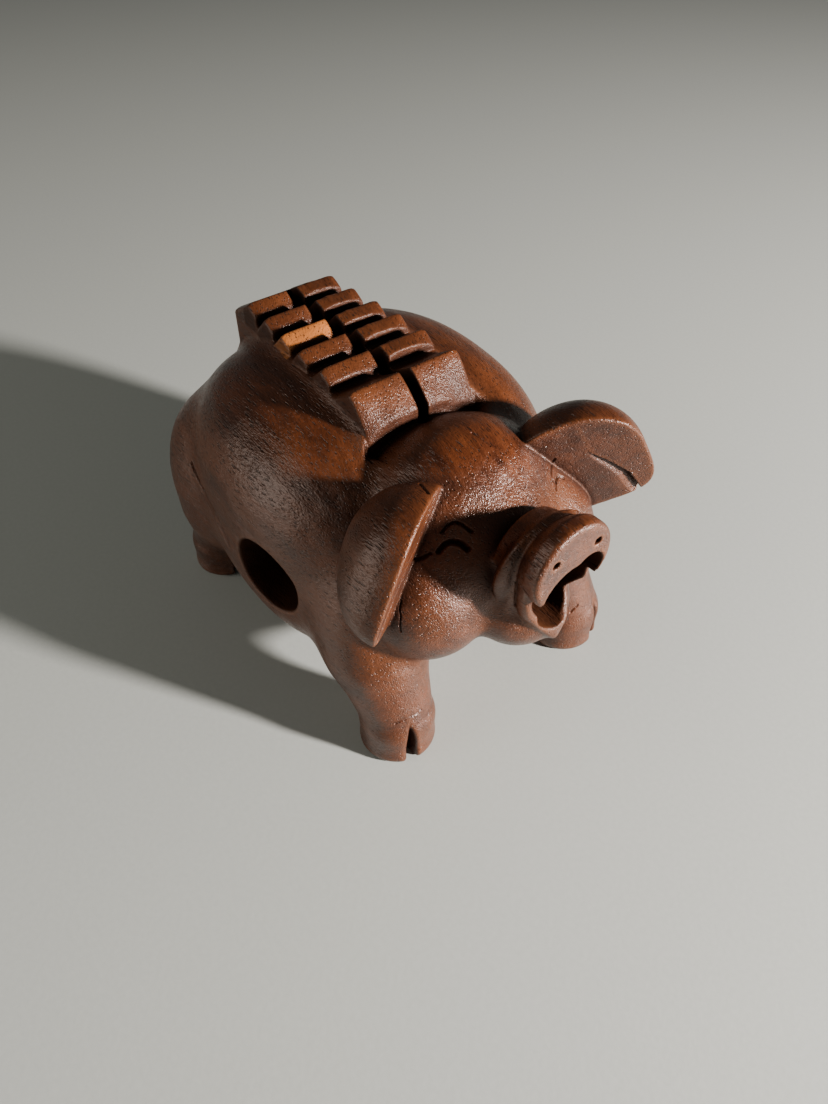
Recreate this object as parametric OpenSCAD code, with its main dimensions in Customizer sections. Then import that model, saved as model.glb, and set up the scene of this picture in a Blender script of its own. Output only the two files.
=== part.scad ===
// Carved wooden pig rasp: a one-piece hollow hardwood carving with a
// toothed ridge along its back, and the turned stick that is drawn over
// the teeth. X points to the snout, Y to the animal's left, Z up. The
// hooves stand on Z = 0 and the carving is centred on X and Y.

/* [Overall] */

// Snout to rump, mm
overall_length = 130; // [90:1:200]

// Ear edge to ear edge, mm
overall_width = 91; // [70:1:140]

// Floor to the highest tooth, mm
overall_height = 90; // [70:1:140]

/* [Ridge and slit] */

// Teeth in each of the two rows
tooth_count = 6; // [4:1:9]

// Width across both rows of teeth, mm
ridge_width = 32.6; // [26:0.2:36]

// Width of the sawn slit between the rows, mm
slit_width = 3; // [2:0.1:4]

// Depth of the notch in front of each tooth, mm
notch_depth = 4.4; // [3:0.1:6]

/* [Sound chamber] */

// Diameter of the bore from flank to flank, mm
side_bore_diameter = 22; // [16:0.2:26]

// Height of that bore above the floor, mm
side_bore_height = 43.5; // [38:0.5:48]

// Diameter of the hollow under the slit, mm
chamber_diameter = 34; // [26:1:40]

// Length of the straight part of that hollow, mm
chamber_length = 38; // [24:1:52]

/* [Face] */

// Diameter of the bore that opens the mouth, mm
mouth_bore_diameter = 16.6; // [12:0.2:18]

// Depth of the mouth behind the snout, mm
mouth_depth = 27; // [18:1:34]

// Diameter of each nostril, mm
nostril_diameter = 2; // [1.2:0.1:3]

// Distance between the two nostrils, mm
nostril_pitch = 12.4; // [9:0.2:15]

/* [Hooves] */

// Diameter of a hoof, mm
hoof_diameter = 20; // [16:0.5:24]

// Width of the split in a hoof, mm
hoof_split = 1.4; // [1:0.1:3]

/* [Striker] */

// Length of the stick, mm
striker_length = 70; // [56:1:74]

// Diameter at its thick end, mm
striker_head_diameter = 9; // [7:0.2:11]

// Diameter at its thin end, mm
striker_tail_diameter = 6.4; // [5:0.2:8]

// Air left between the stick and the bore floor, mm
striker_clearance = 0.3; // [0.2:0.05:0.6]

/* [Build] */

// Which node to draw

/* [Hidden] */

// The carving is drawn at its own size and then brought to the overall
// length, width and height.
drawn_size = [130, 91, 90];
stretch = [
    overall_length / drawn_size.x,
    overall_width / drawn_size.y,
    overall_height / drawn_size.z
];

// Finish of turned and drilled faces
round_fn = 96;
facet_fn = 20;

// The skin is measured outward from two points, one in the trunk and one
// in the head, and the two shells meet at the neck.
skin_angles = 48;
trunk_rings = 34;
head_rings = 34;
trunk_core = [-10, 0, 46];
head_core = [33, 0, 61];
trunk_tilt = 0;
head_tilt = 16;
trunk_front_x = 21;
head_rear_x = 7;
seam_x = 13;
seam_sink = 0.8;
snout_x = 64.5;

// Ridge
ridge_front = 12.2;
ridge_rear = -55.5;
first_tooth_length = 16;
tooth_pitch = (ridge_front - first_tooth_length + 43) / (tooth_count - 2);
crest_z = 89.4;
ridge_floor_z = crest_z - notch_depth;
slit_front_x = 14.5;
slit_rear_x = -50;

// Sound chamber and mouth
side_bore_x = 2;
chamber_z = 50;
chamber_x = -17;
mouth_z = 61.5;
gullet_z = 55.4;
nostril_z = 74.4;

// Legs: where each hoof stands, counted outward from the middle, and how
// far its toes turn out. The left front leg stands wider than the right.
front_left_hoof = [37.6, 34.5];
front_right_hoof = [37.3, 28];
rear_hoof = [-53.8, 31];
front_left_turn = 24;
front_right_turn = 14;
rear_turn = 8;
hoof_height = 11;

// Lower jaw: where its lip ends, and how steeply its keel rises to the lip
jaw_lip_x = 63.7;
jaw_keel_z = 44.2;
jaw_slope = 0.5;

// Ear frame: the flap hangs from the root along its edge direction, spreads
// outward along its span direction and faces forward along its front.
ear_root = [39, 17.5, 83];
ear_edge = [0.103, 0.490, -0.864];
ear_span = [0.577, 0.686, 0.455];
ear_back = [-0.811, 0.544, 0.211];
ear_drop = 34;
ear_reach = 17.3;
ear_bulge = 15;

// Striker: where its thick end lies in the bore, and its two transitions
striker_left_end = 40;
striker_grip = 14;
striker_taper = 10;

wood = [0.55, 0.30, 0.19];
pale_wood = [0.80, 0.62, 0.40];

// ---- smooth field of the body -------------------------------------------

// Two distances joined with a soft valley of the given width
function soft_min(a, b, width) =
    let (h = max(width - abs(a - b), 0) / width)
    min(a, b) - h * h * width / 4;

function soft_max(a, b, width) = -soft_min(-a, -b, width);

// Point turned about a centre in the XZ plane
function turned(p, centre, angle) =
    let (d = [p.x - centre.x, p.z - centre.z])
    [
        cos(angle) * d.x + sin(angle) * d.y,
        p.y - centre.y,
        cos(angle) * d.y - sin(angle) * d.x
    ];

// Distance to an ellipsoid about the origin
function egg(q, radii) =
    let (
        a = [q.x / radii.x, q.y / radii.y, q.z / radii.z],
        b = [a.x / radii.x, a.y / radii.y, a.z / radii.z],
        k = norm(a)
    )
    k < 0.001 ? -min(radii) : k * (k - 1) / norm(b);

// Barrel of the body, fuller than an ellipsoid, higher at the rump
function barrel(p) =
    let (
        q = turned(p, [-10, 0, 46], -6),
        along = abs(q.x) / (q.x > 0 ? 47 : 54.8),
        side = abs(q.y) / 44.6,
        up = abs(q.z) / (q.z > 0 ? 37.5 : 39.5),
        power = q.z > 0 ? 3.1 : 2.8,
        ring = pow(pow(side, power) + pow(up, power), 2.3 / power),
        k = pow(pow(along, 2.3) + ring, 1 / 2.3)
    )
    k < 0.001 ? -38 : norm(q) * (1 - 1 / k);

function body_field(p) =
    let (
        m = [p.x, abs(p.y), p.z],
        trunk = barrel(m),
        haunch = egg(turned(m, [-46.4, 27, 38], 12), [18.4, 17.2, 27]),
        shoulder = egg(turned(m, [24, 26, 36], -10), [15, 15, 22]),
        skull = egg(m - [25, 0, 61], [23.5, 25.5, 23]),
        cheek = egg(m - [34, 17, 49.5], [18, 17.5, 18.5]),
        muzzle = egg(m - [43.5, 0, 55], [14, 14.5, 17]),
        quarters = soft_min(soft_min(trunk, haunch, 7), shoulder, 7),
        face = soft_min(soft_min(skull, cheek, 9), muzzle, 6)
    )
    soft_min(quarters, face, 4);

// ---- skin of the body ----------------------------------------------------

// First place where the field turns positive along a direction
function leave(origin, way, reach, limit, stride) =
    reach >= limit ? limit
    : body_field(origin + way * (reach + stride)) < 0
        ? leave(origin, way, reach + stride, limit, stride)
        : min(limit, refine(origin, way, reach, reach + stride, 7));

function refine(origin, way, low, high, turns) =
    let (middle = (low + high) / 2)
    turns == 0 ? middle
    : body_field(origin + way * middle) < 0
        ? refine(origin, way, middle, high, turns - 1)
        : refine(origin, way, low, middle, turns - 1);

// Unit direction at an angle from the pole, the pole tilted up by tilt
function bearing(polar, around, tilt) =
    let (
        x = cos(polar),
        y = sin(polar) * sin(around),
        z = sin(polar) * cos(around)
    )
    [x * cos(tilt) - z * sin(tilt), y, z * cos(tilt) + x * sin(tilt)];

// How far a direction may run before it meets the neck plane
function neck_limit(core, way, plane_x) =
    let (gap = plane_x - core.x)
    way.x * gap <= 0 ? 90 : min(90, gap / way.x);

function half_ring(core, polar, tilt, plane_x) =
    [
        for (j = [0:skin_angles / 2])
            let (
                way = bearing(polar, 360 * j / skin_angles, tilt),
                limit = neck_limit(core, way, plane_x),
                reach = leave(core, way, 0, limit, 3),
                past = (core.x + way.x * reach - seam_x)
                    / (plane_x - seam_x)
            )
            core + way * (reach - seam_sink * max(past, 0))
    ];

function full_ring(half_points) =
    let (n = len(half_points) - 1)
    concat(
        half_points,
        [
            for (j = [n - 1:-1:1])
                let (p = half_points[j])
                [p.x, -p.y, p.z]
        ]
    );

// Closed shell through a row of rings with equal point counts
module shell(rings) {
    n = len(rings[0]);
    m = len(rings);
    points = [for (ring = rings) for (p = ring) p];
    sides = [
        for (i = [0:m - 2])
            for (j = [0:n - 1])
                for (second = [false, true])
                    let (
                        a = i * n + j,
                        b = i * n + (j + 1) % n,
                        c = (i + 1) * n + (j + 1) % n,
                        d = (i + 1) * n + j
                    )
                    second ? [a, c, d] : [a, b, c]
    ];
    ends = [
        [for (j = [n - 1:-1:0]) j],
        [for (j = [0:n - 1]) (m - 1) * n + j]
    ];
    polyhedron(points, concat(sides, ends), convexity = 8);
}

// Rings from the rear pole to the front pole, closer together at the front
// when crowd is above 1
module skin(core, rings, tilt, plane_x, crowd) {
    shell([
        for (i = [0:rings])
            let (polar = 1 + 178 * pow(1 - i / rings, crowd))
            full_ring(half_ring(core, polar, tilt, plane_x))
    ]);
}

module trunk_skin() {
    skin(trunk_core, trunk_rings, trunk_tilt, trunk_front_x, 1);
}

module head_skin() {
    skin(head_core, head_rings, head_tilt, head_rear_x, 1.1);
}

// ---- smaller carved forms ------------------------------------------------

module both_sides() {
    children();
    mirror([0, 1, 0]) children();
}

module blob(centre, radii, pitch = 0) {
    translate(centre)
        rotate([0, -pitch, 0])
            scale(radii)
                sphere(1, $fn = facet_fn);
}

// Limb from inside the body down to a hoof, round in section
function limb_ring(low, high, z) =
    let (
        t = z / high.z,
        centre = [
            low.x + (high.x - low.x) * pow(t, 1.3),
            low.y + (high.y - low.y) * pow(t, 1.3)
        ],
        foot = hoof_diameter / 2,
        ankle = 0.9 * sin(180 * min(max((z - 6) / 12, 0), 1)),
        edge = 1.6 * pow(max(1 - z / 2, 0), 2),
        swell = 4.2 * pow(t, 1.6),
        dome = sqrt(max(1 - pow(max(t - 0.6, 0) / 0.42, 2), 0.002)),
        radius = (foot - ankle - edge + swell) * dome
    )
    [
        for (j = [0:facet_fn - 1])
            let (a = -360 * j / facet_fn)
            [centre.x + radius * cos(a), centre.y + radius * sin(a), z]
    ];

module limb(hoof, turn, shoulder_point) {
    steps = 15;
    low = [hoof.x, hoof.y, 0];
    difference() {
        shell([
            for (i = [0:steps])
                limb_ring(low, shoulder_point,
                    shoulder_point.z * (0.5 - 0.5 * cos(180 * i / steps)))
        ]);
        hoof_cleft(hoof, turn);
    }
}

// Split that parts the toes of the cloven hoof, widest at the ground
module hoof_cleft(hoof, turn) {
    reach = hoof_diameter / 2;
    translate([hoof.x, hoof.y, 0])
        rotate([0, 0, turn])
            translate([reach, 0, 0])
                rotate([0, -12, 0])
                    scale([4.4, hoof_split / 2 + 0.3, hoof_height])
                        sphere(1, $fn = facet_fn);
}

// Raised back that carries the teeth: steep sides that run out softly
// into the flanks, sinking toward the neck and the rump
function saddle_ring(x) =
    let (
        ahead = pow(max((x - 4) / 10, 0), 2),
        behind = pow(max((-44 - x) / 13, 0), 2),
        top = ridge_floor_z - 5 * ahead - 3 * behind,
        half = ridge_width / 2 + 0.2,
        steps = 5,
        run = 7 / (1 + 12 * behind),
        fall = 5 + 9 * behind,
        flank = [
            for (i = [0:steps])
                let (a = 90 * i / steps)
                [half + run * (1 - cos(a)), top - 3 - fall * sin(a)]
        ]
    )
    concat(
        [[x, half - 0.8, top], [x, half, top - 0.8]],
        [for (p = flank) [x, p.x, p.y]],
        [[x, half + run, 58], [x, -half - run, 58]],
        [for (i = [steps:-1:0]) [x, -flank[i].x, flank[i].y]],
        [[x, -half, top - 0.8], [x, -half + 0.8, top]]
    );

module saddle() {
    steps = 12;
    front = ridge_front - 0.2;
    rear = ridge_rear - 1.5;
    shell([
        for (i = [0:steps])
            saddle_ring(rear + (front - rear) * (0.5 - 0.5 * cos(180 * i / steps)))
    ]);
}

// Side outline of one tooth, crest rounded, front face steep
function tooth_outline(front, rear, base, dip_front, dip_rear, peak) =
    let (steps = 9, length = front - rear)
    concat(
        [[rear, base]],
        [
            for (i = [0:steps])
                let (
                    t = i / steps,
                    ahead = max((t - peak) / (1 - peak), 0),
                    behind = max((peak - t) / peak, 0),
                    drop = dip_front * pow(ahead, 1.8)
                        + dip_rear * pow(behind, 1.8)
                )
                [rear + length * t, crest_z - drop]
        ],
        [[front, base]]
    );

module tooth(outline) {
    slices = 8;
    half = ridge_width / 2;
    shell([
        for (i = [0:slices])
            let (
                s = cos(180 * i / slices),
                y = half * s,
                crown = 0.004 * y * y + 0.9 * pow(abs(s), 12)
            )
            [for (p = outline) [p.x, y, p.y - crown]]
    ]);
}

module teeth() {
    for (i = [0:tooth_count - 1]) {
        first = i == 0;
        last = i == tooth_count - 1;
        front = first
            ? ridge_front
            : ridge_front - first_tooth_length - (i - 1) * tooth_pitch;
        rear = last
            ? ridge_rear
            : ridge_front - first_tooth_length - i * tooth_pitch + 1.6;
        base = first ? 74 : 78;
        dip_front = first ? 6.4 : 2.8;
        dip_rear = last ? 5.5 : 3.4;
        tooth(tooth_outline(front, rear, base, dip_front, dip_rear, 0.5));
    }
}

// Ear: flat face to the front, rounded back, blunt lower corner
function ear_ring(t) =
    let (
        lobe = t < 0.45 ? (0.45 - t) / 0.45 : (t - 0.45) / 0.55,
        power = t < 0.45 ? 2.1 : 4.5,
        girth = (0.88 + 0.12 * t) * pow(max(1 - pow(lobe, power), 0), 1 / power),
        thick = sqrt(max(1 - lobe * lobe, 0)),
        arc = 14,
        along = ear_root + ear_edge * ear_drop * t
    )
    [
        for (j = [0:arc])
            let (a = 180 * j / arc)
            along
                + ear_span * ear_reach * girth * cos(a)
                + ear_back * ear_bulge * thick * sin(a)
    ];

module ear() {
    steps = 18;
    difference() {
        shell([
            for (i = [0:steps])
                ear_ring(0.5 - 0.5 * cos(180 * (0.03 + 0.94 * i / steps)))
        ]);
        ear_gash();
    }
}

// Deep knife cut in the face of the ear
module ear_gash() {
    middle = ear_root + ear_edge * 22 + ear_span * 8.5;
    multmatrix([
        for (r = [0:2])
            [ear_edge[r], ear_span[r], ear_back[r], middle[r]]
    ])
        rotate([0, 0, 18])
            scale([11, 1.4, 4])
                sphere(1, $fn = facet_fn);
}

// Outward direction of the skin near a point
function outward(p) =
    let (
        d = 0.5,
        g = [
            body_field(p + [d, 0, 0]) - body_field(p - [d, 0, 0]),
            body_field(p + [0, d, 0]) - body_field(p - [0, d, 0]),
            body_field(p + [0, 0, d]) - body_field(p - [0, 0, d])
        ]
    )
    g / norm(g);

// Curved knife cut on the skin, its bow turned up
module bow_cut(p, bow, half_angle, width) {
    face = outward(p);
    rise = [0, 0, 1] - face * face.z;
    up = rise / norm(rise);
    side = cross(up, face);
    middle = p - up * bow;
    multmatrix([
        for (r = [0:2])
            [side[r], up[r], face[r], middle[r]]
    ])
        rotate([0, 0, 90 - half_angle])
            rotate_extrude(angle = 2 * half_angle, $fn = 28)
                translate([bow, 0])
                    circle(width, $fn = 6);
}

// Closed, laughing eye: two bowed cuts one above the other
module eye() {
    bow_cut([40.8, 13.4, 73.4], 4.2, 52, 0.7);
    bow_cut([42.6, 15.6, 70.1], 4.5, 46, 0.9);
}

// Upturned snout: a round plate with a rolled rim on a narrower neck, and
// the fold of skin that rings it
module snout() {
    rim = 11.4;
    translate([0, 0, 70])
        rotate([0, 90, 0])
            rotate_extrude($fn = 36)
                polygon([
                    [0, 44],
                    [rim - 8, 44],
                    [rim - 6, 50],
                    [rim - 3, 54.5],
                    [rim - 2.2, 57],
                    [rim - 1.2, 59],
                    [rim, 61],
                    [rim, 63.4],
                    [rim - 0.5, 64.5],
                    [rim - 1.8, 65.2],
                    [0, 65.2]
                ]);
    blob([54.4, 0, 65.5], [3.4, 13.2, 13.2], -8);
}

// One half of the jaw's section, from the keel up past the corner of the
// mouth, drawn in by an inset and leaning back toward the corner
function jaw_half(x, inset) =
    let (keel = jaw_keel_z - jaw_slope * (jaw_lip_x - x))
    [
        for (q = [
            [1, 0.4],
            [4, 5],
            [8.3, 12],
            [9.9, 15.4],
            [10.6, 22],
            [9.6, 27]
        ])
            let (y = q.x - inset * min(q.x / 4, 1))
            [x - 0.19 * y, y, keel + q.y + inset * 0.6]
    ];

function jaw_ring(x, inset) =
    let (half = jaw_half(x, inset), n = len(half))
    concat(
        [for (p = half) [p.x, -p.y, p.z]],
        [for (i = [n - 1:-1:0]) half[i]]
    );

// Lower jaw and throat under the open mouth: a keel that ends in a lip
module jaw() {
    shell([
        jaw_ring(48, 0.2),
        jaw_ring(58, 0.2),
        jaw_ring(60.4, 0),
        jaw_ring(jaw_lip_x - 0.8, 0),
        jaw_ring(jaw_lip_x, 0.6)
    ]);
    blob([49.5, 0, 48], [12.5, 12.8, 12]);
}

// Notch that opens the left corner of the mouth lower than the right one
module mouth_corner() {
    translate([56.6, 14, 52.3])
        rotate([90, 0, 0])
            linear_extrude(11.5)
                polygon([[0, 0], [14, -7], [14, 17.4]]);
}

// Short tail curled flat against the rump
module tail() {
    turns = 10;
    shell([
        for (i = [0:turns])
            let (
                t = i / turns,
                a = 300 * t,
                spread = 5.5 - 2.2 * t,
                thick = 2.3 - 0.9 * t,
                centre = [
                    -62.2,
                    spread * sin(a),
                    62 - spread * cos(a)
                ]
            )
            [
                for (j = [0:7])
                    let (b = 45 * j)
                    centre + thick * [
                        sin(b),
                        sin(a) * cos(b),
                        -cos(a) * cos(b)
                    ]
            ]
    ]);
}

// Everything the knife leaves standing, before drilling and sawing
module carved_block() {
    difference() {
        union() {
            trunk_skin();
            head_skin();
            saddle();
            teeth();
            snout();
            jaw();
            tail();
            limb(front_left_hoof, front_left_turn, [28, 28, 44]);
            mirror([0, 1, 0])
                limb(front_right_hoof, front_right_turn, [28, 27, 44]);
            both_sides() {
                ear();
                limb(rear_hoof, rear_turn, [-46, 27, 42]);
            }
        }
        both_sides() eye();
        mouth_corner();
    }
}

// ---- drilled and sawn features -------------------------------------------

module place(p) {
    translate([p.x * stretch.x, p.y * stretch.y, p.z * stretch.z])
        children();
}

module side_bore() {
    translate([side_bore_x * stretch.x, 0, side_bore_height])
        rotate([90, 0, 0])
            cylinder(h = 2 * overall_width, d = side_bore_diameter,
                center = true, $fn = round_fn);
}

module chamber() {
    place([chamber_x, 0, chamber_z])
        rotate([0, 90, 0])
            cylinder(h = chamber_length, d = chamber_diameter,
                center = true, $fn = round_fn);
    for (end = [-1, 1])
        place([chamber_x, 0, chamber_z])
            translate([end * chamber_length / 2, 0, 0])
                sphere(d = chamber_diameter, $fn = round_fn);
}

module slit() {
    length = (slit_front_x - slit_rear_x) * stretch.x;
    place([(slit_front_x + slit_rear_x) / 2, 0, chamber_z])
        translate([-length / 2, -slit_width / 2, 0])
            cube([length, slit_width, overall_height]);
}

module mouth() {
    place([snout_x - mouth_depth, 0, mouth_z])
        rotate([0, 90, 0])
            cylinder(h = mouth_depth + 10, d = mouth_bore_diameter,
                $fn = round_fn);
    place([snout_x - mouth_depth + 4, 0, gullet_z])
        rotate([0, 90, 0])
            cylinder(h = mouth_depth + 6, d1 = mouth_bore_diameter - 5.6,
                d2 = mouth_bore_diameter - 4, $fn = round_fn);
}

module nostrils() {
    for (side = [-1, 1])
        place([56, 0, nostril_z])
            translate([0, side * nostril_pitch / 2, 0])
                rotate([0, 90, 0])
                    cylinder(h = 20, d = nostril_diameter, $fn = 24);
}

// ---- nodes ---------------------------------------------------------------

// The whole animal, carved from one block of hardwood
module carved_pig() {
    color(wood)
        difference() {
            resize([overall_length, overall_width, overall_height])
                carved_block();
            chamber();
            side_bore();
            slit();
            mouth();
            nostrils();
        }
}

// Turned stick, kept in the side bore when it is not being played
module striker() {
    head = striker_head_diameter / 2;
    tail_end = striker_tail_diameter / 2;
    floor_z = side_bore_height - side_bore_diameter / 2;
    color(pale_wood)
        translate([
            side_bore_x * stretch.x,
            striker_left_end,
            floor_z + striker_clearance + head
        ])
            rotate([90, 0, 0])
                rotate_extrude($fn = round_fn)
                    polygon([
                        [0, 0],
                        [head - 1, 0],
                        [head, 1],
                        [head, striker_grip],
                        [tail_end, striker_grip + striker_taper],
                        [tail_end, striker_length - 1],
                        [tail_end - 1, striker_length],
                        [0, striker_length]
                    ]);
}

carved_pig();
striker();
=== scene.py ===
"""Looks of the carved wooden pig rasp and its striker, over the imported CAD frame.

The carving is sculpted as a field of smooth distances in millimetres, in the CAD
frame: +X to the snout, +Y to the animal's left, +Z up, hooves on Z = 0. The field is
turned into a mesh, fine knife lines are engraved in it, and it is fitted exactly to
the CAD node that it stands for.
"""
import math

import bmesh
import bpy
import numpy as np
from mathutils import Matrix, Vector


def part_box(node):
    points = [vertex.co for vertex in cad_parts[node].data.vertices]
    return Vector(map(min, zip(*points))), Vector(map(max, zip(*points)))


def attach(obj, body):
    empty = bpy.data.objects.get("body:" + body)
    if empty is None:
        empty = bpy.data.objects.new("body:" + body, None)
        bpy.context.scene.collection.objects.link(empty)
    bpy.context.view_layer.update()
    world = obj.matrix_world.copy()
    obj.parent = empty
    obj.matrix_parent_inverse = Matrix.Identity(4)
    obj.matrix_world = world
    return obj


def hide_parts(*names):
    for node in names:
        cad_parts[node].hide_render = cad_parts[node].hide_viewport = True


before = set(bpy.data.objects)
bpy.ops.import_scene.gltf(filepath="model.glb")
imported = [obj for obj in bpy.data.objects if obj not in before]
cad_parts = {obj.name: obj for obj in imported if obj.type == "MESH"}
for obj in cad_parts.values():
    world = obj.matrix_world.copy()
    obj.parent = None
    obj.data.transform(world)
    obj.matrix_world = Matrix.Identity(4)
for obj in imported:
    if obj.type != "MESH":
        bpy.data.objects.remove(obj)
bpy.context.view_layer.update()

import openvdb
from mathutils import Matrix

MM = 0.001

# ---- sculpting settings ----------------------------------------------------
VOXEL = 0.45
BLOCK = 8
FIELD_LOW = (-69.0, -50.0, -3.0)
FIELD_HIGH = (69.0, 50.0, 94.0)

# ---- sizes of the carving, mm ----------------------------------------------
TEETH_FRONTS = (12.0, -4.0, -14.3, -23.6, -33.3, -43.0)
TEETH_REAR = -55.5
TEETH_HALF_WIDTHS = (16.3, 16.1, 15.9, 15.2, 14.4, 13.8)
TEETH_PEAK = 89.1
TEETH_FOOT = 66.0
# height of a tooth's front edge across the back: (y, z) from the right side to the left
FIRST_TOOTH_EDGE = (
    (-16.4, 80.1), (-13.2, 81.8), (-8.7, 83.2), (-1.8, 82.7), (6.0, 81.9), (16.0, 78.4)
)
OTHER_TEETH_EDGE = (
    (-16.0, 86.9), (-9.0, 87.5), (-1.7, 86.1), (1.7, 88.0), (5.0, 88.6), (10.0, 88.3),
    (16.0, 86.2),
)
SADDLE_TOP = 84.0
NECK_HALF_WIDTH = 15.6
NECK_CREASE_Z = 79.4
SLIT_HALF = 1.5
SLIT_X = (-50.0, 14.5)
CHAMBER_CENTRE = (-17.0, 0.0, 50.0)
CHAMBER_RADIUS = 17.0
CHAMBER_HALF = 19.0
BORE_X, BORE_Z, BORE_RADIUS = 2.0, 43.5, 11.0
MOUTH_Z, MOUTH_RADIUS, MOUTH_BACK = 61.5, 8.3, 37.5
NOSTRIL_Y, NOSTRIL_Z, NOSTRIL_RADIUS = 6.2, 74.4, 1.0
LEFT_FORE_HOOF, LEFT_FORE_TURN = (37.6, 34.5), 24.0
RIGHT_FORE_HOOF, RIGHT_FORE_TURN = (37.3, 28.0), 14.0
REAR_HOOF, REAR_TURN = (-53.8, 31.0), 8.0
HOOF_RADIUS, HOOF_TOP = 10.6, 12.0
JAW_LIP_X, JAW_KEEL_Z = 63.7, 44.2
PLATE_X, PLATE_Z, PLATE_RADIUS = 65.2, 70.0, 11.4
EAR_ROOT = (39.0, 17.5, 83.0)
EAR_EDGE = (0.103, 0.490, -0.864)
EAR_SPAN = (0.577, 0.686, 0.455)
EAR_BACK = (-0.811, 0.544, 0.211)

# ---- colours of the wood, linear -------------------------------------------
GRAIN_DARK = (0.022, 0.0050, 0.0013, 1)
GRAIN_LIGHT = (0.072, 0.0185, 0.0046, 1)
PATCH_RED = (0.110, 0.033, 0.0080, 1)
WORN_EDGE = (0.155, 0.048, 0.013, 1)
PALE_TOOTH = (0.38, 0.125, 0.028, 1)
# painted shade for nooks, engraved cuts, the left ear's face and the teeth's front faces
RECESS_SHADE = (0.018, 0.006, 0.003, 1)
FINE_PORE = (0.03, 0.009, 0.004, 1)
OPEN_PORE = (0.010, 0.004, 0.002, 1)
# painted shade, nearly black, inside the chamber, bore, slit and mouth
INSIDE_SHADE = (0.012, 0.005, 0.003, 1)

# ---- camera, mm and degrees ------------------------------------------------
CAMERA_AT = (141.94, -104.22, 200.0)
CAMERA_AZIMUTH = 52.08
CAMERA_ELEVATION = 44.95
FOCAL_LENGTH = 27.07
SENSOR = 36.0


# ---- distances: p is the tuple of coordinate arrays x, y, z ----------------

def soft_min(a, b, width):
    """The smaller distance, with a soft valley of that width where they cross."""
    h = np.maximum(width - np.abs(a - b), 0) / width
    return np.minimum(a, b) - h * h * width / 4


def soft_max(a, b, width):
    """The larger distance, with a soft ridge of that width where they cross."""
    return -soft_min(-a, -b, width)


def ramp(value, start, end):
    """0 before start, 1 after end, straight between them."""
    return np.clip((value - start) / (end - start), 0, 1)


def turned(p, centre, pitch):
    """p in a frame at centre whose X axis is pitched up by that many degrees."""
    x, y, z = (c - o for c, o in zip(p, centre))
    c, s = math.cos(math.radians(pitch)), math.sin(math.radians(pitch))
    return c * x + s * z, y, c * z - s * x


def egg(p, centre, radii, pitch=0):
    """An ellipsoid."""
    a = [c / r for c, r in zip(turned(p, centre, pitch), radii)]
    k = np.sqrt(a[0] ** 2 + a[1] ** 2 + a[2] ** 2) + 1e-6
    slope = np.sqrt(sum((c / r) ** 2 for c, r in zip(a, radii))) + 1e-6
    return k * (k - 1) / slope


def taper(p, start, end, start_radius, end_radius):
    """A round bar whose radius changes evenly from start to end."""
    way = [e - s for s, e in zip(start, end)]
    length2 = sum(w * w for w in way)
    q = [c - s for c, s in zip(p, start)]
    t = np.clip(sum(a * w for a, w in zip(q, way)) / length2, 0, 1)
    gap = np.sqrt(sum((a - t * w) ** 2 for a, w in zip(q, way)))
    return gap - (start_radius + (end_radius - start_radius) * t)


def path_distance(coords, path):
    """Distance to a chain of straight stretches, in 2-D or 3-D."""
    best = None
    for start, end in zip(path, path[1:]):
        d = taper(coords, start, end, 0, 0)
        best = d if best is None else np.minimum(best, d)
    return best


# ---- the body --------------------------------------------------------------

def trunk(p):
    """The barrel: fuller than an ellipsoid, higher at the rump."""
    x, y, z = turned(p, (-10, 0, 46), -6)
    along = np.abs(x) / np.where(x > 0, 47.0, 54.8)
    side = np.abs(y) / 44.6
    up = np.abs(z) / np.where(z > 0, 37.5, 39.5)
    power = np.where(z > 0, 3.1, 2.8)
    ring = (side ** power + up ** power) ** (2.3 / power)
    k = (along ** 2.3 + ring) ** (1 / 2.3)
    return np.sqrt(x * x + y * y + z * z) * (1 - 1 / np.maximum(k, 1e-3)) * 0.95


def hoof(p, at):
    """One trotter: a short drum with softened edges."""
    x, y, z = p
    drum = np.sqrt((x - at[0]) ** 2 + (y - at[1]) ** 2) - HOOF_RADIUS + 0.10 * z
    return soft_max(soft_max(drum, z - HOOF_TOP, 4.0), -z, 2.2)


def sided(left, left_value, right_value):
    """A pair of numbers that differ between the animal's left and right."""
    return [np.where(left, a, b) for a, b in zip(left_value, right_value)]


def quarters(p, left):
    """Trunk, haunches, shoulders, legs and hooves."""
    fore = sided(left, LEFT_FORE_HOOF, RIGHT_FORE_HOOF)
    d = soft_min(trunk(p), egg(p, (-46.4, 27, 38), (18.4, 17.2, 27), 12), 7)
    d = soft_min(d, egg(p, (24, 26, 36), (15, 15, 22), -10), 7)
    d = soft_min(d, taper(p, (-49, 29, 26), (-53.5, 31, 11), 13.0, 9.6), 5)
    d = soft_min(d, taper(p, (31, 28.5, 28), (fore[0], fore[1], 11), 12.2, 9.7), 6)
    d = soft_min(d, hoof(p, REAR_HOOF), 3)
    return soft_min(d, hoof(p, fore), 3)


def cleft(p, at, turn):
    """The wedge that parts the toes, with a V section, widest near the ground."""
    x, y, z = p
    c, s = np.cos(np.radians(turn)), np.sin(np.radians(turn))
    ahead = c * (x - at[0]) + s * (y - at[1])
    aside = c * (y - at[1]) - s * (x - at[0])
    inward = HOOF_RADIUS - ahead
    half = 1.75 - 0.0115 * (z - 4) ** 2 - 0.30 * np.maximum(inward, 0)
    return np.maximum((np.abs(aside) - half) * 0.9, -ahead)


def clefts(p, left):
    """The clefts of the front and the rear hoof on one side."""
    fore = sided(left, LEFT_FORE_HOOF, RIGHT_FORE_HOOF)
    turn = np.where(left, LEFT_FORE_TURN, RIGHT_FORE_TURN)
    return np.minimum(cleft(p, fore, turn), cleft(p, REAR_HOOF, REAR_TURN))


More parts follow.
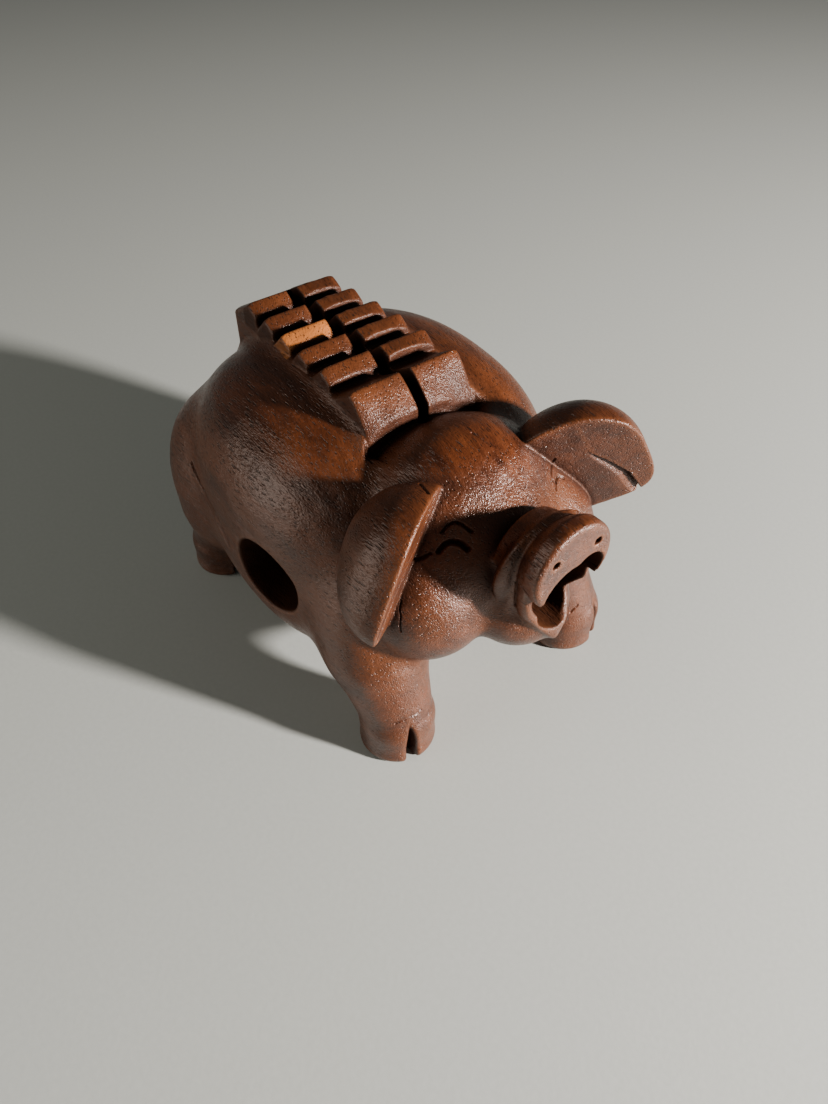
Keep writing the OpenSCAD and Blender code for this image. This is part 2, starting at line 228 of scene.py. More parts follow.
def snout(p):
    """The plate with its rolled rim and neck, and the fold of skin behind it."""
    x, y, z = p
    radius = PLATE_RADIUS - 1.5 * ramp(-x, -61.8, -58.0) ** 2
    sink = 0.35 * np.clip(61.5 - x, 0, 20)
    drum = np.hypot(y, z - PLATE_Z + sink) - radius
    plate = soft_max(drum, x - PLATE_X, 1.5)
    plate = soft_max(np.maximum(plate, 50 - x), 60.5 - z, 1.0)
    fold = egg(p, (54.6, 0, 65.3), (3.3, 13.4, 13.3), -8)
    return soft_min(plate, fold, 1.0)


def jaw(p):
    """A pointed keel that ends in a lip, and closes the corners of the mouth."""
    x, y, z = p
    rise = z - (JAW_KEEL_Z - 0.5 * (JAW_LIP_X - x))
    pinch = 0.9 * np.exp(-((x - 57.6) / 1.2) ** 2)
    flank = (np.sqrt(y * y + 1.2) - 1.1 - 0.63 * (rise - 0.4)) / 1.18 + pinch
    cheek = y - 9.9 - 0.1 * np.clip(rise - 15.4, 0, 7) + pinch
    lip = x - JAW_LIP_X + 0.19 * y
    side = soft_max(flank, cheek, 1.6)
    return np.maximum(soft_max(side, lip, 0.9), np.maximum(rise - 27, 53 - x))


def mouth_corner(p):
    """The notch that opens the left corner of the mouth lower than the right one."""
    x, y, z = p
    above = (z - 52.3 - 1.24 * (x - 56.6)) / 1.59
    below = (-0.5 * (x - 56.6) - (z - 52.3)) / 1.12
    return np.maximum(np.maximum(above, below), 2.5 - y)


def head(p, signed):
    """Skull, cheek, brow and chin, with the muzzle; signed keeps the sign of y."""
    d = egg(p, (25, 0, 61), (23.5, 25.5, 23))
    d = soft_min(d, egg(p, (34, 17, 49.5), (18, 17.5, 18.5)), 9)
    d = soft_min(d, egg(p, (43.5, 0, 55), (14, 14.5, 17)), 6)
    d = soft_min(d, egg(p, (49.5, 0, 48), (12.5, 12.8, 12)), 2.5)
    muzzle = soft_min(snout(p), jaw(p), 0.6)
    muzzle = soft_max(muzzle, -mouth_corner(signed), 0.5)
    return soft_min(d, muzzle, 1.3)


def ear_coords(p):
    """Down the ear's edge, out along its span, and back behind its face."""
    q = [c - o for c, o in zip(p, EAR_ROOT)]
    return [sum(a * w for a, w in zip(q, way)) for way in (EAR_EDGE, EAR_SPAN, EAR_BACK)]


def ear(p):
    """A flap with a flat front face, a rounded back and a blunt lower corner."""
    u, v, w = ear_coords(p)
    middle = 15.0
    du = np.abs(u - middle) / np.where(u < middle, 16.0, 19.0)
    dv = np.abs(v) / 17.5
    dw = w / 15.5
    n = np.where(u < middle, 2.1, 4.5)
    k = np.sqrt((du ** n + dv ** n) ** (2 / n) + dw * dw)
    size = np.sqrt((u - middle) ** 2 + v * v + w * w)
    flap = size * (1 - 1 / np.maximum(k, 1e-3)) * 0.85
    return soft_max(flap, -w, 0.55)


def ear_cut(p):
    """The deep knife cut across the ear's face: one steep wall, one long bevel."""
    u, v, w = ear_coords(p)
    wall = np.interp(u, (11.8, 17.9, 24.8, 34.4), (4.4, 7.9, 11.1, 12.2))
    below = (wall - v) * 0.94
    size = np.sqrt(ramp(u, 11.0, 25.0)) * ramp(-u, -34.2, -32.8)
    bevel = (2.9 * w + 2.3 * below - 6.6 * size + 0.5) / 3.7
    return np.maximum(np.maximum(-below, bevel), -2.0 - w)


def saddle(p):
    """The raised back under the teeth, as wide as they are."""
    x, y, z = p
    drop = 4.0 * ramp(x, 0, 9) ** 2 + 3 * ramp(-x, 50, 58) ** 2
    half = np.interp(x, (-56.0, -43.0, -20.0, 12.0), (12.8, 13.4, 15.3, 15.7))
    ends = np.maximum(x - 10.5, -56.5 - x)
    block = soft_max(soft_max(ends, y - half, 1.2), z - SADDLE_TOP + drop, 1.2)
    return np.maximum(block, 60 - z)


def neck_cut(p):
    """The valley carved out in front of the first tooth."""
    x, y, z = p
    beyond = np.maximum(y - NECK_HALF_WIDTH, 0)
    sag = 0.018 * np.minimum(y, NECK_HALF_WIDTH) ** 2
    crease = NECK_CREASE_Z - sag + 0.75 * beyond
    rear_wall = 11.2 + 1.3 * beyond - x
    ramp_up = crease + 0.62 * (x - 13.2) - z
    return np.maximum(rear_wall, ramp_up) * 0.6


def tooth_top(x, front, crest, rear, edge):
    """Height of a tooth: a rounded slope up from its front edge, then a straight fall."""
    peak = np.maximum(TEETH_PEAK, edge + 0.7)
    ahead = (peak - edge) * ramp(x, crest, front) ** 1.35
    behind = 4.8 * ramp(-x, -crest, -rear)
    return peak - ahead - behind


def teeth(p, y):
    """Six blocks in a row, a little higher on the left; y keeps its sign."""
    x, across, z = p
    first_edge = np.interp(y, *zip(*FIRST_TOOTH_EDGE))
    other_edge = np.interp(y, *zip(*OTHER_TEETH_EDGE))
    best = None
    for i, (front, half) in enumerate(zip(TEETH_FRONTS, TEETH_HALF_WIDTHS)):
        first, last = i == 0, i == len(TEETH_FRONTS) - 1
        edge, slope, steepness = (first_edge, 7.6, 0.62) if first else (other_edge, 4.2, 0.7)
        rear = TEETH_REAR if last else TEETH_FRONTS[i + 1] + 0.8
        top = tooth_top(x, front, front - slope, rear, edge)
        top = top - 0.7 * ramp(across, half - 2.5, half) ** 2
        ends = np.maximum(x - front - 0.15 * np.maximum(80 - z, 0), rear - x)
        block = soft_max(ends, across - half, 0.5)
        tooth = soft_max(block, (z - top) * steepness, 0.45)
        tooth = np.maximum(tooth, TEETH_FOOT - z)
        best = tooth if best is None else np.minimum(best, tooth)
    return best


def tail(p):
    """A curl that lies flat on the rump."""
    x, y, z = p
    best = None
    pieces = 14
    ring = []
    for i in range(pieces + 1):
        a = math.radians(300 * i / pieces)
        spread = 5.5 - 2.2 * i / pieces
        ring.append((-62.4, spread * math.sin(a), 62 - spread * math.cos(a)))
    for i, (start, end) in enumerate(zip(ring, ring[1:])):
        thick = 2.3 - 0.9 * i / pieces
        d = taper(p, start, end, thick, thick - 0.06)
        best = d if best is None else np.minimum(best, d)
    return best


def hollows(p):
    """The sound chamber, the bore through the flanks and the slit above them."""
    x, y, z = p
    along = np.clip(x - CHAMBER_CENTRE[0], -CHAMBER_HALF, CHAMBER_HALF)
    off = x - CHAMBER_CENTRE[0] - along
    room = np.sqrt(off * off + y * y + (z - CHAMBER_CENTRE[2]) ** 2) - CHAMBER_RADIUS
    bore = np.hypot(x - BORE_X, z - BORE_Z) - BORE_RADIUS
    slit = np.maximum(np.abs(y) - SLIT_HALF, np.maximum(SLIT_X[0] - x, x - SLIT_X[1]))
    slit = np.maximum(slit, CHAMBER_CENTRE[2] - z)
    return soft_min(room, bore, 0.4), slit


def mouth(p):
    """The bored throat, its narrower floor, and the arch cut higher on the left."""
    x, y, z = p
    throat = np.maximum(np.hypot(y, z - MOUTH_Z) - MOUTH_RADIUS, MOUTH_BACK - x)
    floor = taper((x, np.abs(y), z), (42, 0, 55.4), (66, 0, 55.4), 5.4, 6.3)
    arch = np.maximum(np.hypot(y - 4.8, z - 66.4) - 4.6, 58 - x)
    return soft_min(soft_min(throat, floor, 0.6), arch, 0.8)


def field(p):
    """Distance to the whole carving, negative inside the wood."""
    x, y, z = p
    m = (x, np.abs(y), z)
    left = y > 0
    d = soft_min(quarters(m, left), head(m, p), 3.0)
    d = soft_min(d, np.maximum(ear(m), -ear_cut(m)), 0.6)
    d = soft_min(d, saddle(m), 5.0)
    d = soft_max(d, -neck_cut(m), 2.0)
    d = soft_min(d, teeth(m, y), 0.4)
    d = soft_min(d, tail(p), 1.2)
    d = soft_max(d, -clefts(m, left), 1.0)
    room, slit = hollows(m)
    d = soft_max(d, -room, 0.9)
    d = soft_max(d, -slit, 0.3)
    d = soft_max(d, -mouth(p), 0.6)
    nostril = np.hypot(m[1] - NOSTRIL_Y, z - NOSTRIL_Z) - NOSTRIL_RADIUS
    d = soft_max(d, -np.maximum(nostril, 56 - x), 0.3)
    return np.maximum(d, -z)


# ---- from the field to a mesh ----------------------------------------------

def sampled_field():
    """The field on a grid: fine near the surface, and coarse, by block, elsewhere."""
    step = VOXEL * BLOCK
    counts = [math.ceil((h - l) / step) for l, h in zip(FIELD_LOW, FIELD_HIGH)]
    middles = [l + step * (np.arange(n) + 0.5) for l, n in zip(FIELD_LOW, counts)]
    rough = field(tuple(c.ravel() for c in np.meshgrid(*middles, indexing="ij")))
    rough = rough.reshape(counts).astype(np.float32)
    grid = rough.repeat(BLOCK, 0).repeat(BLOCK, 1).repeat(BLOCK, 2)
    near = np.argwhere(np.abs(rough) < step * 1.45)
    inner = VOXEL * np.arange(BLOCK)
    ox, oy, oz = np.meshgrid(inner, inner, inner, indexing="ij")
    batch = 1500
    for first in range(0, len(near), batch):
        cells = near[first:first + batch]
        corner = np.array(FIELD_LOW) + cells * step
        p = tuple(
            (corner[:, k, None] + o.ravel()[None]).astype(np.float32)
            for k, o in enumerate((ox, oy, oz))
        )
        values = field(p).reshape(-1, BLOCK, BLOCK, BLOCK)
        for (i, j, k), block in zip(cells * BLOCK, values):
            grid[i:i + BLOCK, j:j + BLOCK, k:k + BLOCK] = block
    return grid


def polygonised(grid):
    """Points in mm and outward quads on the zero level of the field."""
    volume = openvdb.FloatGrid(background=float(VOXEL * BLOCK))
    volume.copyFromArray(grid)
    points, quads = volume.convertToQuads(0.0)
    points = points.astype(np.float64) * VOXEL + np.array(FIELD_LOW)
    return points, quads[:, ::-1]


def gradient(points):
    """Outward unit directions of the field."""
    step = 0.3
    cols = []
    for k in range(3):
        shift = np.zeros(3)
        shift[k] = step
        cols.append(field(tuple((points + shift).T)) - field(tuple((points - shift).T)))
    g = np.stack(cols, 1)
    return g / (np.linalg.norm(g, axis=1, keepdims=True) + 1e-9)


def settled(points, rounds=2):
    """Points pulled onto the surface, which sharpens the polygoniser's edges."""
    for _ in range(rounds):
        way = gradient(points)
        reach = np.clip(field(tuple(points.T)), -0.3, 0.3)
        points = points - way * reach[:, None] * 0.8
    return points


def mesh_from(name, points, faces):
    """A mesh with these points and faces."""
    mesh = bpy.data.meshes.new(name)
    mesh.from_pydata(points.tolist(), [], faces.tolist())
    mesh.update()
    return mesh


# ---- engraved lines ---------------------------------------------------------

def curved(path, steps=5):
    """A smooth curve through the points of a path."""
    points = np.array(path, float)
    padded = np.vstack((2 * points[0] - points[1], points, 2 * points[-1] - points[-2]))
    curve = []
    for a, b, c, d in zip(padded, padded[1:], padded[2:], padded[3:]):
        for i in range(steps):
            t = i / steps
            bend = (2 * a - 5 * b + 4 * c - d) * t + (3 * b - a - 3 * c + d) * t * t
            curve.append(b + 0.5 * t * (c - a + bend))
    return np.array(curve + [points[-1]])


def on_skin(path, rounds=10):
    """A path smoothed and pulled onto the surface."""
    points = curved(path)
    for _ in range(rounds):
        reach = np.clip(field(tuple(points.T)), -1.0, 1.0)
        points = points - gradient(points) * reach[:, None] * 0.7
    return points.tolist()


# half width, depth and path of each carved line, mm
KNIFE_LINES = (
    # right eye: the lid and the heavier fold under it
    (0.5, 0.8, (
        (40.2, -16.7, 71.9), (40.2, -15.1, 73.0), (40.8, -13.4, 73.4), (42.2, -12.1, 72.7),
        (43.9, -11.2, 71.5),
    )),
    (0.85, 1.4, (
        (42.0, -18.9, 68.7), (42.0, -17.3, 69.8), (42.6, -15.6, 70.1), (43.9, -14.2, 69.7),
        (45.4, -13.4, 68.6),
    )),
    # left eye, cut more faintly
    (0.45, 0.35, (
        (38.1, 19.8, 73.0), (38.0, 19.2, 71.7), (39.4, 17.7, 71.9), (40.8, 16.5, 71.5),
        (41.8, 16.1, 70.8),
    )),
    (0.6, 0.5, (
        (43.3, 16.0, 69.3), (42.1, 16.8, 70.0), (40.5, 19.3, 69.9), (40.7, 21.1, 68.4),
    )),
    # root of the right ear
    (0.6, 0.7, (
        (38.8, -17.5, 82.8), (40.5, -22.6, 75.8), (41.2, -25.0, 71.8),
    )),
    # fold between the right haunch and the belly
    (0.9, 1.3, (
        (-39.5, -41.3, 53.2), (-35.8, -41.8, 50.9), (-32.0, -42.4, 48.7),
    )),
    (2.2, 0.6, (
        (-32.0, -42.4, 48.7), (-27.0, -43.3, 48.4), (-22.2, -44.1, 48.1),
        (-16.9, -44.6, 43.0),
    )),
    # creases beside the right eye and over the ear
    (0.6, 0.8, (
        (39.7, -23.6, 67.2), (40.4, -22.3, 67.6), (41.0, -20.7, 68.3),
    )),
    (0.4, 0.5, (
        (35.3, -19.2, 84.2), (37.8, -20.2, 85.3), (40.5, -21.0, 85.9),
    )),
    # a drying crack in the right cheek
    (0.28, 0.5, (
        (42.0, -29.5, 59.6), (42.5, -30.4, 57.8), (43.3, -30.7, 56.0), (43.7, -31.2, 53.9),
        (44.2, -31.3, 52.0),
    )),
    # a scratch on the brow
    (0.35, 0.3, (
        (28.2, 1.3, 83.8), (30.8, 1.9, 83.4), (33.2, 2.6, 82.5),
    )),
    # hairline folds over the front hooves
    (0.35, 0.4, (
        (44.3, -33.7, 17.0), (45.0, -32.0, 17.7), (45.6, -29.5, 17.9), (45.5, -26.1, 17.9),
    )),
    (0.5, 0.5, (
        (45.6, 30.7, 18.8), (45.4, 29.4, 17.8), (45.2, 28.6, 16.9),
    )),
    # the nick at the outer corner of the first tooth
    (0.5, 0.4, (
        (15.9, -18.0, 77.3), (14.4, -17.7, 78.3), (12.5, -17.1, 79.6),
    )),
    # creases of the snout
    (0.5, 0.7, (
        (57.8, -9.9, 65.6), (57.7, -9.6, 61.4), (57.6, -9.0, 57.1),
    )),
    (0.45, 0.5, (
        (59.1, -10.8, 67.9), (60.9, -11.2, 67.5), (62.3, -10.9, 66.3),
    )),
)


def knife_lines():
    """Each carved line as its path on the skin, its half width and its depth."""
    return [(on_skin(path), half, depth) for half, depth, path in KNIFE_LINES]


def refined(mesh, lines):
    """Splits the faces around the engraved lines, so that they come out crisp."""
    work = bmesh.new()
    work.from_mesh(mesh)
    for reach in (2.2, 1.5):
        points = np.array([v.co for v in work.verts])
        near = np.zeros(len(points), bool)
        for path, half, _ in lines:
            near |= distance_near(points, path, half + reach) < half + reach
        work.verts.index_update()
        edges = [e for e in work.edges if near[e.verts[0].index] and near[e.verts[1].index]]
        bmesh.ops.subdivide_edges(work, edges=edges, cuts=1, use_grid_fill=True)
    work.to_mesh(mesh)
    work.free()


def distance_near(points, path, reach):
    """Distance to a path, worked out only for points inside its box."""
    path = np.array(path)
    low, high = path.min(0) - reach, path.max(0) + reach
    inside = ((points > low) & (points < high)).all(1)
    result = np.full(len(points), 1e3)
    if inside.any():
        result[inside] = path_distance(tuple(points[inside].T), path.tolist())
    return result


def engraved(points, lines):
    """Points pushed in along the lines with a V section."""
    way = None
    depth = np.zeros(len(points))
    for path, half, deep in lines:
        d = distance_near(points, path, half + 0.5)
        depth = np.maximum(depth, deep * np.clip(1 - d / half, 0, 1) ** 0.8)
    cut = depth > 0
    points = points.copy()
    points[cut] -= gradient(points[cut]) * depth[cut, None]
    return points, depth


# ---- what the finish needs to know about each place -------------------------

def hollowness(points, way):
    """How far a place is shut in by wood around it, felt at three distances."""
    total = np.zeros(len(points))
    for reach, share in ((1.0, 0.3), (2.5, 0.4), (5.0, 0.3)):
        out = field(tuple((points + way * reach).T))
        total += share * (1 - out / reach)
    return total


def shaded_faces(points, way):
    """Painted shade on the left ear's face and on the teeth's front faces, from 0 to 1."""
    x, y, z = points.T
    _, _, behind = ear_coords((x, np.abs(y), z))
    in_ear = (np.abs(behind) < 1.0) & (y > 19) & (way[:, 0] > 0.5)
    upright = ramp(-way[:, 2], -0.80, -0.50)
    along = (x < TEETH_FRONTS[0] + 1.6) & (x > TEETH_REAR + 6)
    on_teeth = along & (np.abs(y) < 17.2) & (z > np.where(x > 10, 75, 82))
    return np.maximum(np.where(in_ear, 0.45, 0), np.where(on_teeth, 0.75 * upright, 0))


def surface_marks(points, depth):
    """Per-point values from 0 to 1: painted shade, worn edge, painted shade inside the
    hollows, and pale tooth.
    """
    way = gradient(points)
    # Painted shade where wood closes round a place, in the engraved cuts, on the left ear's
    # face and on the teeth's front faces.
    painted_shade = np.clip(hollowness(points, way) * 1.5, 0, 1)
    painted_shade = np.maximum(painted_shade, np.clip(depth * 1.1, 0, 1))
    painted_shade = np.maximum(painted_shade, shaded_faces(points, way))
    inward = field(tuple((points - way * 1.2).T))
    worn = np.clip((inward / 1.2 + 1) * 1.6, 0, 1)
    x, y, z = points.T
    # Painted shade inside the chamber, the bore, the slit and the mouth.
    room, slit = hollows((x, np.abs(y), z))
    inner = np.maximum(ramp(-room, -0.9, 0.2), ramp(-slit, -0.4, 0.1))
    inner = np.maximum(inner, ramp(-mouth((x, y, z)), -0.5, 0.2))
    rear, front = TEETH_FRONTS[4] + 1.6, TEETH_FRONTS[3]
    pale = (x > rear) & (x < front + 0.2) & (y < -SLIT_HALF) & (z > 84.5)
    return {"painted_shade": painted_shade, "worn": worn, "hollow": inner, "pale": pale.astype(float)}


# ---- nodes -------------------------------------------------------------------

class Finish:
    """A material under construction."""

    def __init__(self, name):
        self.material = bpy.data.materials.new(name)
        self.material.use_nodes = True
        self.tree = self.material.node_tree
        self.tree.nodes.clear()
        self.out = self.add("ShaderNodeOutputMaterial")
        self.shader = self.add("ShaderNodeBsdfPrincipled")
        self.tree.links.new(self.shader.outputs[0], self.out.inputs["Surface"])

    def add(self, kind, inputs=None, **settings):
        node = self.tree.nodes.new(kind)
        for key, value in settings.items():
            setattr(node, key, value)
        for key, value in (inputs or {}).items():
            self.put(node.inputs[key], value)
        return node

    def put(self, socket, value):
        if isinstance(value, bpy.types.NodeSocket):
            self.tree.links.new(value, socket)
        else:
            socket.default_value = value

    def set(self, **values):
        for key, value in values.items():
            self.put(self.shader.inputs[key.replace("_", " ")], value)

    def place(self, scale):
        """Object coordinates in mm, divided by scale along each axis."""
        coords = self.add("ShaderNodeTexCoord").outputs["Object"]
        factor = tuple(1 / (MM * s) for s in scale)
        inputs = {0: coords, 1: factor}
        return self.add("ShaderNodeVectorMath", inputs, operation="MULTIPLY").outputs[0]

    def noise(self, vector, detail=2.0, roughness=0.5, distortion=0.0):
        inputs = {"Vector": vector, "Scale": 1.0, "Detail": detail, "Roughness": roughness,
                  "Distortion": distortion}
        return self.add("ShaderNodeTexNoise", inputs).outputs["Fac"]

    def cells(self, vector, feature="F1", smoothness=None):
        inputs = {"Vector": vector, "Scale": 1.0}
        node = self.add("ShaderNodeTexVoronoi", inputs, feature=feature)
        if smoothness is not None:
            node.inputs["Smoothness"].default_value = smoothness
        return node.outputs["Distance"]

    def span(self, value, low, high, to_low=0.0, to_high=1.0):
        inputs = {"Value": value, "From Min": low, "From Max": high,
                  "To Min": to_low, "To Max": to_high}
        return self.add("ShaderNodeMapRange", inputs).outputs["Result"]

    def calc(self, operation, a, b=0.5, c=0.5):
        return self.add("ShaderNodeMath", {0: a, 1: b, 2: c}, operation=operation).outputs[0]

    def blend(self, factor, a, b, how="MIX"):
        node = self.add("ShaderNodeMix", data_type="RGBA", blend_type=how)
        self.put(node.inputs["Factor"], factor)
        self.put(node.inputs[6], a)
        self.put(node.inputs[7], b)
        return node.outputs[2]

    def mark(self, name):
        return self.add("ShaderNodeAttribute", attribute_name=name).outputs["Fac"]

    def bump(self, height, depth_mm, strength=1.0, under=None):
        inputs = {"Height": height, "Distance": depth_mm * MM, "Strength": strength}
        if under is not None:
            inputs["Normal"] = under
        return self.add("ShaderNodeBump", inputs).outputs["Normal"]


def grain_coords(finish, scale, waviness):
    """Coordinates along the grain, which runs from rump to snout and wavers a little."""
    sway = finish.noise(finish.place((45, 30, 30)), detail=1.0)
    shift = finish.calc("MULTIPLY_ADD", sway, waviness, -waviness / 2)
    base = finish.place(scale)
    push = finish.add("ShaderNodeCombineXYZ", {0: 0.0, 1: shift, 2: shift}).outputs[0]
    return finish.add("ShaderNodeVectorMath", {0: base, 1: push}, operation="ADD").outputs[0]


def carved_wood():
    """Varnished reddish-brown hardwood with open pores, with painted shade in the cuts and
    nooks, on the teeth's front faces and inside the hollows.
    """
    f = Finish("carved_hardwood")
    fibres = f.noise(grain_coords(f, (22, 1.3, 1.3), 2.0), detail=4.0, roughness=0.6)
    bands = f.noise(grain_coords(f, (90, 7, 7), 1.0), detail=2.0)
    patches = f.noise(f.place((22, 18, 18)), detail=2.0)
    pores = f.span(f.cells(grain_coords(f, (4.8, 0.72, 0.72), 3.0)), 0.15, 0.30, 1.0, 0.0)
    fine_pores = f.span(f.cells(grain_coords(f, (2.2, 0.42, 0.42), 5.0)), 0.14, 0.32, 1.0, 0.0)
    tone = f.calc("MULTIPLY_ADD", bands, 0.5, f.calc("MULTIPLY", fibres, 0.5))
    colour = f.blend(f.span(tone, 0.38, 0.62), GRAIN_DARK, GRAIN_LIGHT)
    colour = f.blend(f.span(patches, 0.45, 0.75, 0.0, 0.45), colour, PATCH_RED)
    worn = f.mark("worn")
    colour = f.blend(f.calc("MULTIPLY", worn, 0.50), colour, WORN_EDGE)
    colour = f.blend(f.mark("pale"), colour, PALE_TOOTH)
    # Painted shade, darkest in nooks and cuts.
    painted_shade = f.mark("painted_shade")
    colour = f.blend(f.calc("MULTIPLY", painted_shade, 0.85), colour, RECESS_SHADE)
    colour = f.blend(f.calc("MULTIPLY", fine_pores, 0.55), colour, FINE_PORE)
    colour = f.blend(f.calc("MULTIPLY", pores, 0.75), colour, OPEN_PORE)
    # Painted shade inside the chamber, bore, slit and mouth.
    hollow = f.mark("hollow")
    colour = f.blend(f.calc("MULTIPLY", hollow, 0.96), colour, INSIDE_SHADE)
    # Where shade is painted, the surface is also rougher and the coat and specular are dulled.
    shade_mask = f.calc("MAXIMUM", hollow, f.calc("MULTIPLY", painted_shade, 0.6))
    rough = f.calc("MULTIPLY_ADD", shade_mask, 0.35, f.span(fibres, 0.3, 0.7, 0.32, 0.44))
    facets = f.cells(f.place((9, 4.5, 4.5)), feature="SMOOTH_F1", smoothness=0.6)
    grainy = f.noise(grain_coords(f, (2.2, 0.36, 0.36), 6.0), detail=2.0, roughness=0.6)
    beads = f.noise(f.place((1.3, 0.9, 0.9)), detail=3.0, roughness=0.55)
    normal = f.bump(facets, 0.60, 0.6)
    normal = f.bump(beads, 0.16, 0.8, under=normal)
    normal = f.bump(grainy, 0.22, 0.8, under=normal)
    pits = f.calc("MAXIMUM", pores, f.calc("MULTIPLY", fine_pores, 0.4))
    normal = f.bump(pits, -0.16, 0.8, under=normal)
    f.set(Base_Color=colour, Roughness=rough, Normal=normal, Coat_Roughness=0.21,
          Coat_Weight=f.span(shade_mask, 0.0, 0.8, 0.45, 0.0), Coat_Normal=normal,
          Specular_IOR_Level=f.span(shade_mask, 0.0, 0.8, 0.42, 0.10),
          Specular_Tint=(1.0, 0.68, 0.56, 1))
    return f.material


def striker_wood():
    """Pale close-grained wood, sanded and thinly varnished, its grain along the stick."""
    f = Finish("striker_wood")
    fibres = f.noise(f.place((0.7, 30, 0.7)), detail=4.0, roughness=0.6)
    rings = f.noise(f.place((2.4, 80, 2.4)), detail=2.0)
    pores = f.span(f.cells(f.place((0.4, 4.5, 0.4))), 0.10, 0.24, 1.0, 0.0)
    tone = f.calc("MULTIPLY_ADD", rings, 0.5, f.calc("MULTIPLY", fibres, 0.5))
    colour = f.blend(f.span(tone, 0.36, 0.64), (0.36, 0.19, 0.085, 1), (0.62, 0.40, 0.21, 1))
    colour = f.blend(f.calc("MULTIPLY", pores, 0.5), colour, (0.20, 0.095, 0.04, 1))
    rough = f.span(fibres, 0.3, 0.7, 0.38, 0.52)
    normal = f.bump(pores, -0.06, 0.6, under=f.bump(fibres, 0.05, 0.5))
    f.set(Base_Color=colour, Roughness=rough, Normal=normal,
          Coat_Weight=0.15, Coat_Roughness=0.3)
    return f.material


def pale_floor():
    """A matt, pale grey-green table top."""
    f = Finish("pale_floor")
    grit = f.noise(f.place((1.4, 1.4, 1.4)), detail=3.0)
    colour = f.blend(grit, (0.335, 0.36, 0.335, 1), (0.38, 0.405, 0.38, 1))
    f.set(Base_Color=colour, Roughness=0.55, Normal=f.bump(grit, 0.05, 0.4))
    return f.material


# ---- pieces --------------------------------------------------------------------

def add_object(name, mesh, material):
    """A smooth-shaded object in the scene."""
    piece = bpy.data.objects.new(name, mesh)
    bpy.context.scene.collection.objects.link(piece)
    mesh.materials.append(material)
    mesh.shade_smooth()
    return piece


def fitted(points, node):
    """Points in mm brought exactly to the CAD node's box, in metres."""
    low, high = (np.array(c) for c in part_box(node))
    own_low, own_high = points.min(0), points.max(0)
    return low + (points - own_low) * (high - low) / (own_high - own_low)


def make_pig(material):
    """Sculpts, engraves and marks the carving, and fits it to its CAD node."""
    points, quads = polygonised(sampled_field())
    lines = knife_lines()
    mesh = mesh_from("carved_pig_skin", settled(points), quads)
    refined(mesh, lines)
    points = np.empty(3 * len(mesh.vertices))
    mesh.vertices.foreach_get("co", points)
    points = points.reshape(-1, 3)
    points, depth = engraved(points, lines)
    for name, values in surface_marks(points, depth).items():
        layer = mesh.attributes.new(name, "FLOAT", "POINT")
        layer.data.foreach_set("value", values.astype(np.float32))
    mesh.vertices.foreach_set("co", fitted(points, "carved_pig").ravel())
    mesh.update()
    piece = add_object("carved_pig_skin", mesh, material)
    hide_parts("carved_pig")
    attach(piece, "pig")


def striker_profile(length, head, tail):
    """Outline of the stick as distance from its thick end and radius."""
    grip, run = 0.2 * length, 0.143 * length
    outline = []
    rounding = 1.6 * MM
    for i in range(9):
        a = math.radians(90 * i / 8)
        outline.append((rounding * (1 - math.cos(a)), head - rounding * (1 - math.sin(a))))
    for i in range(1, 13):
        t = i / 12
        ease = t * t * (3 - 2 * t)
        outline.append((grip + run * t, head + (tail - head) * ease))
    for i in range(9):
        a = math.radians(90 * i / 8)
        end = length - rounding * (1 - math.sin(a))
        outline.append((end, tail - rounding * (1 - math.cos(a))))
    return outline


def make_striker(material):
    """The turned stick, between the ends of its CAD node's box."""
    low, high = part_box("striker")
    length, head = high[1] - low[1], (high[2] - low[2]) / 2
    tail = head * 6.4 / 9
    axis_x, axis_z = (low[0] + high[0]) / 2, (low[2] + high[2]) / 2
    outline = striker_profile(length, head, tail)
    around = 64
    points, faces = [(axis_x, high[1], axis_z)], []
    for along, radius in outline:
        for j in range(around):
            a = 2 * math.pi * j / around
            x, z = axis_x + radius * math.cos(a), axis_z + radius * math.sin(a)
            points.append((x, high[1] - along, z))
    points.append((axis_x, low[1], axis_z))
    for j in range(around):
        k = (j + 1) % around
        faces.append((0, 1 + k, 1 + j))
        for i in range(len(outline) - 1):
            a, b = 1 + i * around, 1 + (i + 1) * around
            faces.append((a + j, a + k, b + k, b + j))
        last = 1 + (len(outline) - 1) * around
        faces.append((len(points) - 1, last + j, last + k))
    mesh = bpy.data.meshes.new("striker_stick")
    mesh.from_pydata(points, [], faces)
    mesh.update()
    piece = add_object("striker_stick", mesh, material)
    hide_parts("striker")
    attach(piece, "striker")


# ---- stage ----------------------------------------------------------------------

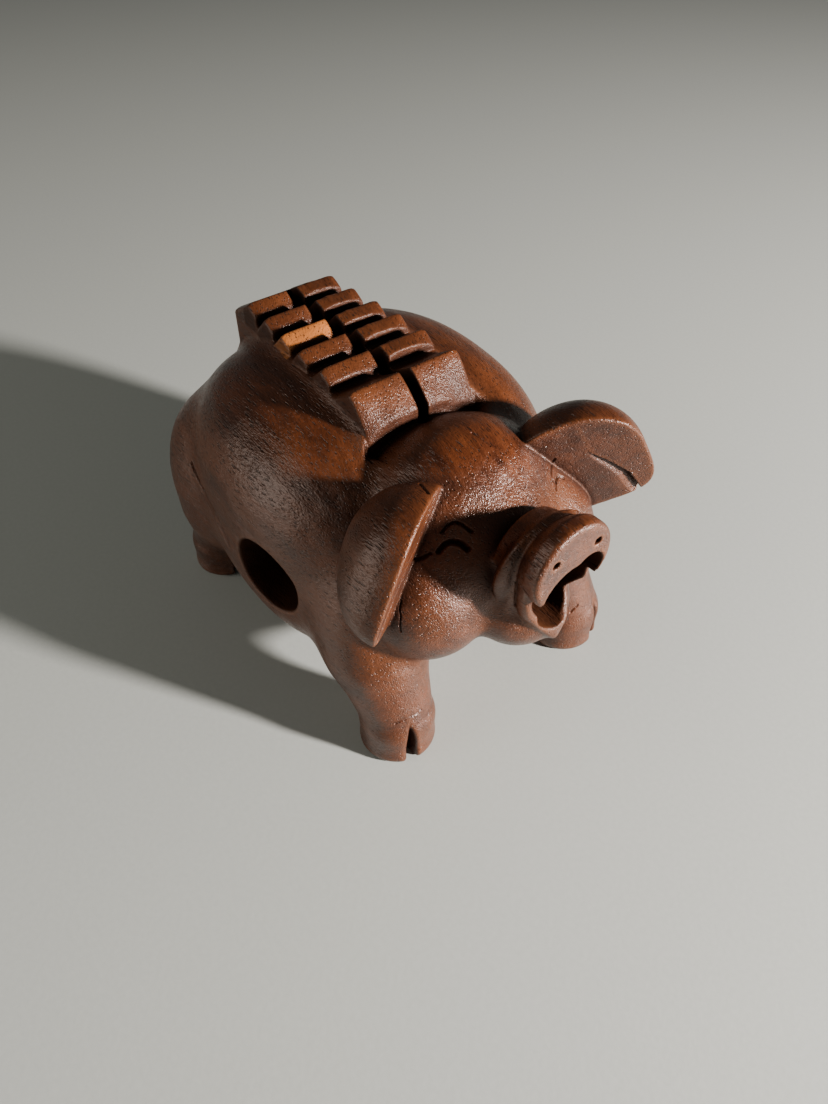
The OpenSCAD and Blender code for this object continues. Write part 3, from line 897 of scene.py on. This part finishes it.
def make_floor():
    """The table top, which is stage and not part of the object."""
    bpy.ops.mesh.primitive_plane_add(size=6)
    floor = bpy.context.active_object
    floor.name = "floor"
    floor.data.materials.append(pale_floor())


def aimed(at, towards):
    """A matrix at a place whose -Z looks at another place."""
    back = (at - towards) / np.linalg.norm(at - towards)
    right = np.cross((0, 0, 1), back)
    right /= np.linalg.norm(right)
    up = np.cross(back, right)
    rows = [[right[k], up[k], back[k], at[k]] for k in range(3)]
    return Matrix(rows + [[0, 0, 0, 1]])


def add_light(name, at, towards, size, power, colour):
    """A round lamp, places in metres and power in watts."""
    data = bpy.data.lights.new(name, "AREA")
    data.shape = "DISK"
    data.size = size
    data.energy = power
    data.color = colour
    lamp = bpy.data.objects.new(name, data)
    lamp.matrix_world = aimed(np.array(at), np.array(towards))
    bpy.context.scene.collection.objects.link(lamp)


def make_lights():
    """A low soft key from the animal's front left, and a wide fill from its right."""
    add_light("key", (0.757, 0.412, 0.30), (0, 0, 0.045), 0.08, 44.0, (1.0, 0.91, 0.87))
    add_light("fill", (-0.35, -1.00, 0.36), (0, 0, 0.04), 0.9, 7.0, (1.0, 0.93, 0.84))
    world = bpy.data.worlds.new("studio")
    world.use_nodes = True
    sky = world.node_tree.nodes["Background"]
    sky.inputs["Color"].default_value = (0.80, 0.83, 0.80, 1)
    sky.inputs["Strength"].default_value = 0.10
    bpy.context.scene.world = world


def make_camera():
    """A close, high three-quarter view of the right side and the face."""
    data = bpy.data.cameras.new("camera")
    data.sensor_fit = "VERTICAL"
    data.sensor_height = SENSOR
    data.lens = FOCAL_LENGTH
    data.clip_start = 0.01
    az, el = math.radians(CAMERA_AZIMUTH), math.radians(CAMERA_ELEVATION)
    way = np.array((-math.sin(az) * math.cos(el), math.cos(az) * math.cos(el), -math.sin(el)))
    at = np.array(CAMERA_AT) * MM
    camera = bpy.data.objects.new("camera", data)
    camera.matrix_world = aimed(at, at + way)
    bpy.context.scene.collection.objects.link(camera)
    bpy.context.scene.camera = camera


make_camera()
make_lights()
make_floor()
make_pig(carved_wood())
make_striker(striker_wood())
